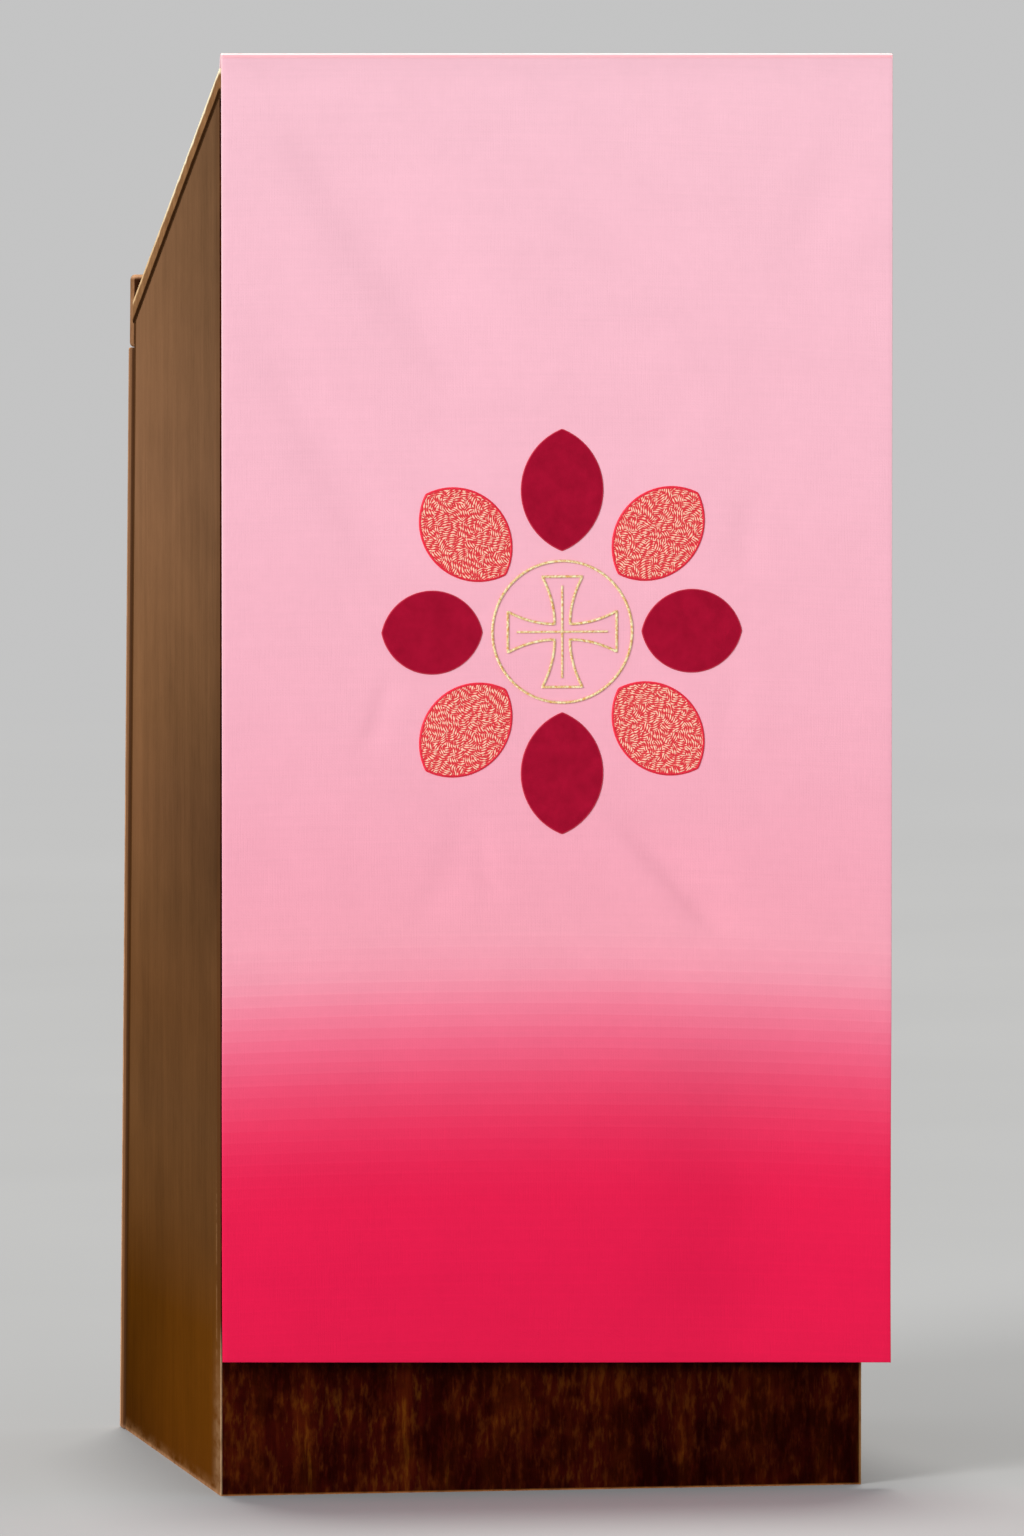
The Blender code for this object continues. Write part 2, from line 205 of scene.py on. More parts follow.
class Wire:
    """An output socket of a finish; arithmetic on it adds Math nodes."""

    def __init__(self, finish, socket):
        self.finish = finish
        self.socket = socket

    def __add__(self, other):
        return combine("ADD", self, other)

    def __sub__(self, other):
        return combine("SUBTRACT", self, other)

    def __rsub__(self, other):
        return combine("SUBTRACT", other, self)

    def __mul__(self, other):
        return combine("MULTIPLY", self, other)

    def __truediv__(self, other):
        return combine("DIVIDE", self, other)

    def __abs__(self):
        return combine("ABSOLUTE", self)

    __radd__ = __add__
    __rmul__ = __mul__

    def part(self):
        """What is left above the whole number below it."""
        return combine("FRACT", self)

    def wave(self):
        """The sine."""
        return combine("SINE", self)

    def most(self, other):
        """The larger of two."""
        return combine("MAXIMUM", self, other)

    def between(self, start, end):
        """0 at start, 1 at end, smooth between them and flat outside."""
        sockets = {"Value": self, "From Min": start, "From Max": end}
        return self.finish.node("ShaderNodeMapRange", {"interpolation_type": "SMOOTHSTEP"}, sockets)

    def near(self, place, reach):
        """1 at the place, fading smoothly to 0 at reach on both sides."""
        return 1 - abs(self - place).between(0.0, reach)


# %% Finishes
def tint(red, green, blue):
    """Linear colour from everyday 0 to 255 values: ((c / 255 + 0.055) / 1.055) to the power 2.4."""
    linear = ((np.array([red, green, blue]) / 255 + 0.055) / 1.055) ** 2.4
    return (*linear.tolist(), 1.0)


class Finish:
    """A material in the making: one Principled shader and the nodes that feed it."""

    def __init__(self, name, constants):
        self.material = bpy.data.materials.new(name)
        self.material.use_nodes = True
        self.tree = self.material.node_tree
        self.shader = self.tree.nodes["Principled BSDF"]
        for socket, value in constants.items():
            self.shader.inputs[socket].default_value = value

    def node(self, kind, settings, sockets, output=0):
        """Add a node: its settings, then its sockets' values or wires. Returns the wire of one output."""
        node = self.tree.nodes.new(kind)
        for setting, value in settings.items():
            if setting == "stops":
                elements = node.color_ramp.elements
                while len(elements) < len(value):
                    elements.new(1.0)
                for element, (position, colour) in zip(elements, value):
                    element.position = position
                    element.color = colour
            else:
                setattr(node, setting, value)
        for socket, value in sockets.items():
            if isinstance(value, Wire):
                self.tree.links.new(value.socket, node.inputs[socket])
            else:
                node.inputs[socket].default_value = value
        return Wire(self, node.outputs[output])

    def feed(self, socket, wire):
        """Run a wire into the shader."""
        self.tree.links.new(wire.socket, self.shader.inputs[socket])

    def place(self):
        """The point itself, in metres, the same for every piece that wears the finish."""
        return self.node("ShaderNodeTexCoord", {}, {}, "Object")

    def flat(self):
        """The point's place in the flat cut cloth, in metres."""
        return self.node("ShaderNodeUVMap", {"uv_map": "flat"}, {})

    def streaks(self, factors, **sockets):
        """Noise drawn out or squeezed: it reads the point itself times a factor in each direction."""
        factored = {0: self.place(), 1: factors}
        return self.noise(self.node("ShaderNodeVectorMath", {"operation": "MULTIPLY"}, factored), **sockets)

    def split(self, vector):
        """The three numbers of a vector."""
        first = self.node("ShaderNodeSeparateXYZ", {}, {"Vector": vector})
        return [Wire(self, socket) for socket in first.socket.node.outputs]

    def noise(self, vector, **sockets):
        """Cloudy noise from 0 to 1, mostly near 0.5, at a vector or three numbers; sockets by name."""
        if isinstance(vector, tuple):
            vector = self.node("ShaderNodeCombineXYZ", {}, dict(enumerate(vector)))
        return self.node("ShaderNodeTexNoise", {}, {"Vector": vector, "Scale": 1.0, **sockets})

    def ramp(self, value, stops, span=1.0):
        """A colour that runs evenly between stops: each a value up to the span, red, green and blue."""
        stops = [(stop / span, tint(*colour)) for stop, *colour in stops]
        return self.node("ShaderNodeValToRGB", {"stops": stops}, {"Fac": value / span})

    def mix(self, factor, first, second):
        """Two colours mixed by a factor."""
        return self.node("ShaderNodeMix", {"data_type": "RGBA"}, {0: factor, 6: first, 7: second}, 2)

    def shade(self, colour, brightness):
        """A colour times a brightness."""
        return self.node("ShaderNodeVectorMath", {"operation": "SCALE"}, {0: colour, "Scale": brightness})

    def relief(self, height, distance):
        """Small relief: height 1 stands this many metres proud."""
        self.feed("Normal", self.node("ShaderNodeBump", {}, {"Height": height, "Distance": distance}))


# %% [markdown]
# ## The camera
#
# A cloth like this is shown at its best by a long lens from far away, which keeps its edges parallel.
# The camera stands eleven and a half metres off, a little to the left of the front, at chest height,
# and looks down by three degrees.

# %% Camera
CAMERA_PLACE = (-1.9523, -11.4518, 1.209)
CAMERA_TURN = math.radians(9.793)
CAMERA_DIP = math.radians(3.052)
CAMERA_LENS = 318.92

camera = put("camera", bpy.data.cameras.new("camera"))
bpy.context.scene.camera = camera
camera.location = CAMERA_PLACE
camera.rotation_euler = (math.pi / 2 - CAMERA_DIP, 0.0, -CAMERA_TURN)
camera.data.lens = CAMERA_LENS
camera.data.clip_end = 200.0
print("camera", CAMERA_PLACE, "with a", CAMERA_LENS, "mm lens")

# %% [markdown]
# ## The studio
#
# The floor is a pale disc under a pale sky. Far from the lectern the floor's own colour fades out and
# the sky's fades in as a glow, so no horizon shows from any side. The light is plain and soft: an even
# sky, a broad key light from the left, which models the folds, and a broad light from almost straight
# above, which draws a bright line along the roll of cloth. Sun lamps with a wide angle stand in for
# soft boxes, because they light the cloth evenly from top to hem and never come into view.

# %% Floor
FLOOR_RADIUS = 400.0
FADE = (5.0, 16.0)  # between these distances the floor turns into sky
SKY_LIGHT = 0.55

ground = Finish("pale floor", {"Roughness": 0.95, "Specular IOR Level": 0.0, "Emission Strength": 1.0})
place = ground.place()
distance = ground.node("ShaderNodeVectorMath", {"operation": "LENGTH"}, {0: place}, "Value")
far = distance.between(*FADE)
cloud = ground.noise(place, Scale=0.7, Detail=3.0)
near_colour = ground.ramp(cloud, [(0.3, 154, 155, 157), (0.7, 158, 159, 161)])
ground.feed("Base Color", ground.shade(near_colour, 1 - far))
ground.feed("Emission Color", ground.shade((SKY_LIGHT, SKY_LIGHT, SKY_LIGHT), far))


def floor_disc(turns, rings):
    """Points at radius * (cos(angle), sin(angle)) on ever wider rings, and the middle."""
    angle = full_turn(turns)
    radius = np.geomspace(0.5, FLOOR_RADIUS, rings)[:, None]
    x = radius * np.cos(angle)
    points = np.stack([x, radius * np.sin(angle), np.zeros_like(x)], axis=-1).reshape(-1, 3)
    return np.concatenate([points, np.zeros((1, 3))])


TURNS = 64
RINGS = 8
floor_faces = [grid_faces(RINGS, TURNS, columns_close=True), pole_faces(np.arange(TURNS), RINGS * TURNS)]
upwards = [faces[:, ::-1] for faces in floor_faces]
floor = put_mesh("floor", floor_disc(TURNS, RINGS), upwards, ground.material)
print("floor faces up:", all(polygon.normal.z > 0 for polygon in floor.data.polygons))

# %% Lights
def add_soft_light(name, side, height, strength, spread, colour):
    """A sun this many degrees right of the front and up from level, as wide as the spread."""
    lamp = bpy.data.lights.new(name, "SUN")
    lamp.energy = strength
    lamp.angle = math.radians(spread)
    lamp.color = colour
    put(name, lamp).rotation_euler = (math.radians(90 - height), 0.0, math.radians(side))
    print(name, "strength", strength)


add_soft_light("key light", -50.0, 20.0, 2.45, 22.0, (1.0, 0.985, 0.96))
add_soft_light("top light", 175.0, 79.0, 2.7, 12.0, (1.0, 0.97, 0.90))

world = bpy.data.worlds.new("studio air")
world.use_nodes = True
sky = world.node_tree.nodes["Background"].inputs
sky["Color"].default_value = (1.0, 1.0, 1.0, 1.0)
sky["Strength"].default_value = SKY_LIGHT
bpy.context.scene.world = world
bpy.context.scene.view_settings.view_transform = "Standard"

# %% [markdown]
# ## Oak
#
# The lectern is old oak under dark oil. Wood looks like wood because it is drawn out along the grain:
# the same cloudy noise, squeezed across the board and stretched along it, gives the broad figure, the
# fine fibres and the short dark pores. The sides are a soft brown, more golden towards the floor, and
# the front is almost black with red in it; painted shade darkens it towards the right and just under
# the hem. Low down, hands, shoes and mops have worn the arrises bare; on the desk, the book lip and
# the back board the pale arris lines are painted highlights. A mask is near 1 where a point is close to
# an edge and fades within a few millimetres. Painted shade also darkens the lip's inner face, the gaps
# at the back board and the strip of side board beside the hanging cloth, and a painted shadow lies
# under the desk's ends. Oiled wood as old as this has no shine left.

# %% The grain of oak
def oak_finish(name, grain):
    """An oak finish, its figure, its pores and the point; grain shrinks coordinates along the fibres."""
    oak = Finish(name, {"Roughness": 0.8, "Specular IOR Level": 0.0})
    broad = oak.streaks([34.0 * share for share in grain], Detail=3.0, Distortion=0.4)
    fibres = oak.streaks([170.0 * share for share in grain], Detail=3.0, Roughness=0.6)
    pores = oak.streaks([620.0 * share for share in grain], Detail=1.0).between(0.58, 0.74)
    figure = broad * 0.55 + fibres * 0.45
    oak.relief(figure * 0.5 - pores * 0.4, 0.0003)
    return oak, figure, pores, oak.split(oak.place())


def patchy(oak, mask, unevenness=0.5):
    """A mask made uneven in patches, for wear and for painted highlights: mask * (1 - u + patches * u)."""
    patches = oak.noise(oak.place(), Scale=55.0, Detail=3.0, Roughness=0.6).between(0.30, 0.62)
    return mask * (1 - unevenness + patches * unevenness)


def dress(oak, colour, layers, nodes):
    """Lay each layer, a mask and its tone, over the colour, and give the boards the finish."""
    for mask, tone in layers:
        colour = oak.mix(mask, colour, tone)
    oak.feed("Base Color", colour)
    for node in nodes:
        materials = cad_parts[node].data.materials
        materials.clear()
        materials.append(oak.material)
        print(node, "wears", oak.material.name)


UPRIGHT = (1.0, 1.0, 0.11)  # grain up a board
LEVEL = (0.11, 1.0, 1.0)  # grain across a board
SIDE_TONES = (  # height over the floor, red, green and blue
    (0.00, 86, 46, 8),
    (0.05, 86, 47, 6),
    (0.13, 87, 49, 9),
    (0.22, 95, 61, 31),
    (0.30, 99, 66, 38),
    (0.39, 100, 66, 38),
    (0.47, 102, 69, 42),
    (0.56, 107, 73, 47),
    (0.64, 115, 80, 52),
    (0.73, 122, 86, 58),
    (0.84, 126, 90, 63),
    (1.10, 121, 87, 60),
)
TONE_SPAN = 1.2

# %% Side boards
oak, figure, pores, (x, y, z) = oak_finish("side oak", UPRIGHT)
blotches = oak.streaks((9.0, 5.0, 9.0), Detail=4.0, Roughness=0.6)
scuffs = oak.streaks((60.0, 16.0, 60.0), Detail=4.0, Roughness=0.65)
behind_front = y - FRONT_Y
before_back = behind_front + z * BACK_LEAN - (BODY_DEPTH - BACK_THICKNESS)
high_up = z.between(0.30, 0.60)
backwards = z.between(0.08, 0.28) * 0.42 + z.near(0.57, 0.18) * 0.27 + z.between(0.55, 0.80) * 0.10 - 0.34
brightness = 0.95 + (figure - 0.5) * 0.60 + (blotches - 0.5) * 0.45 - pores * 0.08
brightness = brightness + backwards * (behind_front * (2.0 / BODY_DEPTH) - 1)
half_way_up = z.between(0.15, 0.35) * (1 - z.between(0.55, 0.75))
brightness = brightness + before_back.near(-0.050, 0.040) * half_way_up * 0.14
# painted shade and red bounce: the side board's strip beside the hanging cloth, above the hem, darkened and
# reddened as the pink cloth shades it
cloth_shade_strip = (1 - behind_front.between(0.015, 0.019)) * z.between(0.10, 0.16)
joint_line = behind_front.near(FRONT_BOARD + 0.003, 0.005) * (1 - z.between(0.22, 0.36))
# painted shadow: a dark strip on the side board along the back board, where the gap between them lies in
# shade
painted_shadow_gap = before_back.between(-0.011, -0.007)
bleached = behind_front.near(0.006, 0.050) * (1 - z.between(0.03, 0.16))
low = 1 - z.between(0.0, 0.014)
front_arris = y.near(FRONT_Y, 0.0022) * (1 - z.between(0.11, 0.15))
dress(oak, oak.shade(oak.ramp(z, SIDE_TONES, TONE_SPAN), brightness), [
    (cloth_shade_strip * (0.45 - high_up * 0.30), tint(84, 46, 22)),
    (joint_line * scuffs.between(0.45, 0.65) * 0.35, tint(160, 118, 80)),
    (painted_shadow_gap * 0.80, tint(62, 34, 8)),
    (bleached * scuffs.between(0.25, 0.60) * 0.62, tint(150, 116, 84)),
    (low * scuffs.between(0.30, 0.60) * 0.45, tint(150, 108, 70)),
    (patchy(oak, z.near(0.0, 0.0045) * 0.8, 0.7), tint(176, 130, 94)),
    (patchy(oak, front_arris * 0.8), tint(214, 178, 138)),
], ["side_board_left", "side_board_right"])

# %% Back board
oak, figure, pores, (x, y, z) = oak_finish("back oak", UPRIGHT)
colour = oak.shade(oak.ramp(z, SIDE_TONES, TONE_SPAN), 1.0 + (figure - 0.5) * 0.7 - pores * 0.10)
at_end = abs(x).between(HALF_BODY - 0.003, HALF_BODY)
before_outside = y - FRONT_Y + z * BACK_LEAN - BODY_DEPTH
# painted shade: the inner part of the back board's end, next to the side board, painted dark as the gap
# there lies in shade
back_end_shade = at_end * (1 - before_outside.between(-0.0225, -0.0185))
# painted highlight: a pale line along the back board's outer arris at each end
arris_highlight = before_outside.between(-0.0090, -0.0050) * at_end
dress(oak, colour, [
    (at_end * 0.6, tint(138, 96, 66)),
    (back_end_shade * 0.8, tint(56, 32, 16)),
    (patchy(oak, arris_highlight * (1.0 - z.between(0.25, 0.95) * 0.45), 0.45), tint(200, 154, 118)),
    (patchy(oak, z.near(0.0, 0.006) * 0.6), tint(176, 134, 104)),
], ["back_board"])

# %% Book lip
oak, figure, pores, (x, y, z) = oak_finish("lip oak", LEVEL)
tone = oak.ramp(figure, [(0.3, 118, 80, 52), (0.7, 160, 118, 84)])
before_outside = y - FRONT_Y + z * BACK_LEAN - (BODY_DEPTH - BACK_THICKNESS + LIP_THICKNESS)
# painted highlights: pale lines along the book lip's top arris and its outer arris
lip_top_highlight = z.between(LIP_TOP - 0.0045, LIP_TOP - 0.0015)
arris_highlight = before_outside.between(-0.0055, -0.0020)
# painted shade: the book lip's inner face, which faces the desk, is painted dark as if in shade
lip_inner_shade = (1 - before_outside.between(-LIP_THICKNESS + 0.0004, -LIP_THICKNESS + 0.0016)) * (1 - lip_top_highlight)
dress(oak, oak.shade(tone, 1 - pores * 0.15), [
    (patchy(oak, lip_top_highlight.most(arris_highlight) * 0.6, 0.4), tint(208, 164, 128)),
    (lip_inner_shade, tint(52, 28, 14)),
], ["book_lip"])

# %% Desk
oak, figure, pores, (x, y, z) = oak_finish("desk oak", LEVEL)
tone = oak.ramp(figure, [(0.3, 112, 76, 46), (0.7, 158, 116, 78)])
below_top = DESK_NOSE_Z - (y - NOSE_Y) * math.tan(DESK_ANGLE) - z
at_end = abs(x).between(HALF_DESK - 0.003, HALF_DESK - 0.0005)
ragged = (oak.streaks((1.0, 60.0, 60.0), Detail=3.0) - 0.5) * 0.004
# painted highlight: a cream line along the upper arris of the desk's ends, paler higher up, where light
# catches the rounded edge
desk_arris_highlight = 1 - (below_top + ragged).between(0.0030, 0.0062)
desk_highlight_tone = oak.ramp(z.between(1.00, 1.12), [(0.0, 222, 186, 140), (1.0, 255, 240, 204)])
# painted shadow: a dark line along the foot of each desk end, where it overhangs the side board
shadow_under_desk_ends = (below_top + ragged * 0.5).between(DESK_DROP - 0.0040, DESK_DROP - 0.0022)
dress(oak, oak.shade(tone, 1 - pores * 0.15), [
    (desk_arris_highlight * at_end, desk_highlight_tone),
    (shadow_under_desk_ends * at_end * 0.95, tint(46, 24, 8)),
], ["desk_board"])

# %% Front and base boards
oak, figure, pores, (x, y, z) = oak_finish("front oak", UPRIGHT)
tone = oak.ramp(figure, [(0.30, 30, 1, 0), (0.46, 43, 6, 1), (0.60, 58, 17, 2), (0.74, 100, 56, 10)])
flecks = oak.streaks((240.0, 240.0, 70.0), Detail=3.0, Roughness=0.6).between(0.46, 0.72)
blotches = oak.streaks((26.0, 26.0, 24.0), Detail=4.0, Roughness=0.6).between(0.36, 0.64)
# painted shade: the front grows darker towards the right, away from the key light, and the flecks fade with
# it
shade_to_right = x.between(-0.30, 0.30)
mottle = 0.58 + flecks * 0.60 + blotches * 0.85
# painted shadow: the band just under the hem is darker, where the hanging cloth shades it
colour = oak.shade(tone, mottle * (1.14 - shade_to_right * 0.46) * (1 - z.between(0.06, 0.12) * 0.12))
gilded = flecks * blotches * (1 - shade_to_right * 0.6)
low_down = 1 - z.between(0.11, 0.15)
dress(oak, colour, [
    (gilded * 0.50, tint(92, 54, 8)),
    (patchy(oak, x.near(-HALF_BODY, 0.0018) * low_down * 0.8, 0.4), tint(214, 178, 138)),
    (patchy(oak, x.near(HALF_BODY, 0.0030) * low_down * 0.8, 0.3), tint(186, 136, 82)),
    (patchy(oak, z.near(0.0, 0.0020) * 0.7), tint(180, 116, 62)),
], ["front_board", "base_board"])

# %% [markdown]
# ## The hanging cloth
#
# A cloth that hangs from an edge is nearly flat: only long soft folds run down it, where the weight
# pulls unevenly, and short puckers stand round a sewn patch, because the stitches draw the cloth up.
# Each is a valley along a smooth line, steeper on one side than on the other, that eases out at both
# ends. A cloth simulation would choose folds of its own, so the few real ones are listed one by one.

# %% Folds
#        points of the valley line (x, z), from the top     left    right   depth
FOLDS = (
    (((-0.285, 1.265), (-0.150, 1.050), (-0.035, 0.865)), 0.026, 0.060, 0.0038),
    (((-0.252, 1.000), (-0.190, 0.872), (-0.130, 0.748)), 0.018, 0.035, 0.0018),
    (((+0.286, 1.200), (+0.239, 1.098), (+0.205, 0.980)), 0.020, 0.020, 0.0007),
    (((-0.132, 0.692), (-0.140, 0.655), (-0.155, 0.612)), 0.008, 0.012, 0.0010),
    (((+0.170, 0.840), (+0.172, 0.752)), 0.012, 0.014, 0.0008),
    (((+0.160, 0.690), (+0.150, 0.600)), 0.010, 0.014, 0.0006),
    (((+0.052, 0.580), (+0.102, 0.521), (+0.168, 0.444)), 0.010, 0.024, 0.0034),
    (((-0.058, 0.590), (-0.078, 0.535), (-0.108, 0.465)), 0.014, 0.020, 0.0009),
    (((-0.056, 0.562), (-0.046, 0.490)), 0.008, 0.010, 0.0007),
    (((+0.170, 0.420), (+0.178, 0.300), (+0.180, 0.060)), 0.070, 0.095, 0.0085),
    (((-0.290, 0.450), (-0.290, 0.060)), 0.050, 0.060, 0.0030),
)
FOLD_START = 0.080  # the folds grow to their depth over this distance below the desk's edge
FOLD_FADE = 0.35  # share of a fold's height over which each of its ends eases out
RIPPLES = 14
RIPPLE_HEIGHT = 0.00025
ripple_chance = np.random.default_rng(7)
RIPPLE_WAVES = ripple_chance.uniform((-1, -1, 0), (1, 1, math.tau), (RIPPLES, 3)) * (40.0, 18.0, 1.0)


def ease(value):
    """0 below 0, 1 above 1, and t * t * (3 - 2 t) between them."""
    t = np.clip(value, 0.0, 1.0)
    return t * t * (3 - 2 * t)


def fold_depth(x, z):
    """How far the cloth is drawn in: the sum of depth * exp(-(across / width) ** 2) * eased ends."""
    depth = np.zeros(np.broadcast(x, z).shape)
    for line, left, right, deep in FOLDS:
        line_x, line_z = np.array(line).T
        curve = np.polynomial.Polynomial.fit(line_z, line_x, len(line) - 1)
        level = np.clip(z, line_z[-1], line_z[0])
        across = (x - curve(level)) * np.cos(np.arctan(curve.deriv()(level)))
        width = np.where(across < 0, left, right)
        fade = FOLD_FADE * (line_z[0] - line_z[-1])
        ends = ease((line_z[0] - z) / fade) * ease((z - line_z[-1]) / fade)
        depth += deep * ends * np.exp(-((across / width) ** 2))
    for wave_x, wave_z, start in RIPPLE_WAVES:
        depth += RIPPLE_HEIGHT / math.sqrt(RIPPLES) * np.sin(wave_x * x + wave_z * z + start)
    return depth * ease((DESK_NOSE_Z - DESK_DROP - z) / FOLD_START)


# %% [markdown]
# ## The cover
#
# The cover is one length of cloth, 57 cm wide and 1.52 m long, that doesn't stretch. So its surface is
# a function of two distances in the flat cloth: across, and along from the rear hem. Along its length
# it first lies on the slope, then turns round the desk's front edge in an arc, then drops. Each of the
# three only moves the point while the cloth is in that stretch, so their sum is the whole path. The
# thickness is added afterwards, on both sides of this middle surface, and it narrows to nothing along
# the rim as a half circle does, which gives the soft edge of a turned cloth.

# %% The middle surface
UP_SQUARE = np.array([0.0, math.sin(DESK_ANGLE), math.cos(DESK_ANGLE)])
DOWN_SLOPE = np.array([0.0, math.cos(DESK_ANGLE), -math.sin(DESK_ANGLE)])
NOSE = np.array([0.0, NOSE_Y, DESK_NOSE_Z])
MIDDLE_RADIUS = ROLL_RADIUS + CLOTH / 2
ROLL_TURN = math.pi / 2 + DESK_ANGLE
ROLL_Y = NOSE_Y - FRONT_GAP + ROLL_RADIUS
ROLL_Z = DESK_NOSE_Z + (ROLL_LIFT - ROLL_RADIUS - (ROLL_Y - NOSE_Y) * UP_SQUARE[1]) / UP_SQUARE[2]
ROLL_START = (ROLL_Y - NOSE_Y) * DOWN_SLOPE[1] + (ROLL_Z - DESK_NOSE_Z) * DOWN_SLOPE[2]
ON_SLOPE = SLOPE_LENGTH - ROLL_START
ON_ROLL = MIDDLE_RADIUS * ROLL_TURN
COVER_RIGHT = COVER_LEFT + COVER_WIDTH


def facing(angle):
    """The direction at an angle from straight up, turned towards the reader."""
    return np.stack([np.zeros_like(angle), np.sin(angle), np.cos(angle)], axis=-1)


def cover_middle(x, along):
    """Place of the middle of the cloth, x across and so far along from the rear hem.

    place = nose + run * down-slope + lift * square-to-slope
            + radius * (facing(angle) - facing(slope angle)) + drop downwards + fold inwards
    """
    x, along = np.broadcast_arrays(x, along)
    run = SLOPE_LENGTH - np.clip(along, 0.0, ON_SLOPE)
    beside_roll = np.exp(-(((run - ROLL_START) / ROLL_REACH) ** 2))
    lift = GAP + CLOTH / 2 + (ROLL_LIFT - GAP) * beside_roll
    past_end = ease((x - HALF_DESK + SIDE_REACH) / SIDE_REACH)
    lift = np.maximum(lift, GAP + CLOTH / 2 + (SIDE_LIFT - GAP) * past_end)
    free = np.clip((x - HALF_DESK) / (COVER_RIGHT - HALF_DESK), 0.0, 1.0)
    lift = lift - SIDE_DROOP * free ** 2 * ease((run - ROLL_START) / ON_SLOPE / DROOP_SHARE)
    place = NOSE + run[..., None] * DOWN_SLOPE + lift[..., None] * UP_SQUARE

    angle = DESK_ANGLE - np.clip(along - ON_SLOPE, 0.0, ON_ROLL) / MIDDLE_RADIUS
    place = place + MIDDLE_RADIUS * (facing(angle) - facing(np.full_like(angle, DESK_ANGLE)))

    drop = np.clip(along - ON_SLOPE - ON_ROLL, 0.0, None)
    z = ROLL_Z - drop
    place[..., 2] -= drop
    place[..., 1] += fold_depth(x, z)
    place[..., 0] = x
    return place


fall = ROLL_Z - HEM_LEFT_Z
print(f"cloth on the slope {ON_SLOPE:.4f}, on the roll {ON_ROLL:.4f}, falling {fall:.4f} m")

# %% Both faces of the cloth
ROUNDING = np.array([0.0, 0.06, 0.25, 0.6, 1.0]) * CLOTH / 2  # distances from the rim


def rim_spaced(start, end, count):
    """Places from start to end, with extra ones close to both ends where the edge is rounded."""
    inner = np.linspace(start + CLOTH / 2, end - CLOTH / 2, count)[1:-1]
    return np.concatenate([start + ROUNDING, inner, end - ROUNDING[::-1]])


def surface_normals(points):
    """Directions square to a grid: (change along rows) x (change along columns), made one long."""
    along_rows = np.gradient(points, axis=0)
    along_columns = np.gradient(points, axis=1)
    square = np.cross(along_rows, along_columns)
    return square / np.linalg.norm(square, axis=2, keepdims=True)


def two_faces(middle, from_rim, thickness):
    """Points and faces of a sheet round its middle surface, closed at the rim, and the points' grid places.

    Half the thickness at a distance d from the rim is sqrt(r * r - (r - d) ** 2), with d at most r.
    """
    radius = thickness / 2
    inward = np.clip(from_rim, 0.0, radius)
    half = np.sqrt(np.maximum(radius ** 2 - (radius - inward) ** 2, 0.0))[..., None]
    normals = surface_normals(middle)
    both = np.stack([middle + half * normals, middle - half * normals]).reshape(-1, 3)
    number = np.arange(from_rim.size).reshape(from_rim.shape)
    number[1:-1, 1:-1] += from_rim.size
    outside = grid_faces(*from_rim.shape)
    inside = number.ravel()[outside][:, ::-1]
    kept, faces = np.unique(np.stack([outside, inside]), return_inverse=True)
    return both[kept], list(faces.reshape(2, -1, 4)), kept % from_rim.size


SLOPE_ROWS = 56
ROLL_ROWS = 14
FALL_ROWS = 228
COVER_COLUMNS = 144
CROWDING = 1.7  # the rows of the slope crowd towards the roll

cover_x = rim_spaced(COVER_LEFT, COVER_RIGHT, COVER_COLUMNS)
crowded = 1 - (1 - np.linspace(0.0, 1.0, SLOPE_ROWS)) ** CROWDING
share = np.concatenate([
    ROUNDING,
    CLOTH / 2 + (ON_SLOPE - CLOTH / 2) * crowded[1:-1],
    np.linspace(ON_SLOPE, ON_SLOPE + ON_ROLL, ROLL_ROWS),
    rim_spaced(ON_SLOPE + ON_ROLL, ON_SLOPE + ON_ROLL + fall, FALL_ROWS)[len(ROUNDING):],
])
falling = np.clip(share - ON_SLOPE - ON_ROLL, 0.0, None)[:, None] / fall
extra_fall = HEM_DROP * (cover_x - COVER_LEFT) / COVER_WIDTH  # the hem is lower at the right
cover_along = share[:, None] + falling * extra_fall
middle = cover_middle(cover_x, cover_along)
from_rim = np.minimum.outer(
    np.minimum(share, share[-1] - share),
    np.minimum(cover_x - COVER_LEFT, COVER_RIGHT - cover_x),
)
above_hem = share[-1] + extra_fall - cover_along
flat_place = np.stack(np.broadcast_arrays(cover_x - COVER_LEFT, above_hem), axis=-1).reshape(-1, 2)

# %% [markdown]
# ## The dye and the weave
#
# The cloth is a plain weave of fine wool. It was dipped hem first into a crimson bath and drawn out in
# small steps, so the crimson fades upwards into pink, and each step leaves a faint level line along
# the wefts. The cloth sagged a little in the bath, so the lines bend down towards the sides. The colour
# therefore belongs to the height above the hem in the flat cloth, which the piece's own map holds in
# metres: a ramp gives the dye, a saw-tooth of the height gives the steps, and noise stretched along the
# wefts gives threads that took more or less dye. A painted highlight lightens the fold at the top and
# the selvedges, and painted shade darkens the cloth right under the fold. Low down, a little right of
# the middle, the colour is deeper, partly dye and partly painted shade of a fold.

# %% Dyed weave
DYE = (  # height above the hem, red, green and blue
    (0.00, 229, 26, 74),
    (0.08, 231, 26, 76),
    (0.14, 233, 30, 78),
    (0.165, 233, 36, 82),
    (0.185, 234, 45, 89),
    (0.205, 236, 56, 97),
    (0.237, 238, 77, 114),
    (0.27, 242, 104, 137),
    (0.30, 245, 130, 157),
    (0.33, 246, 156, 177),
    (0.36, 247, 166, 185),
    (0.42, 247, 169, 189),
    (0.56, 248, 179, 198),
    (0.74, 249, 187, 205),
    (1.08, 250, 196, 212),
)
DYE_SPAN = 1.6
BAND = 0.0094  # height of one step of the dip
BAND_SHARE = 0.70  # how much of the colour change falls on the line between two steps
LINE_SAG = 0.074  # a line sinks this much per square metre of distance from its highest place
LINE_TOP = 0.295  # that place, across from the left edge
DYE_SAG = 0.155  # the same for the colour, which sinks more towards the sides
DYE_TOP = 0.3325
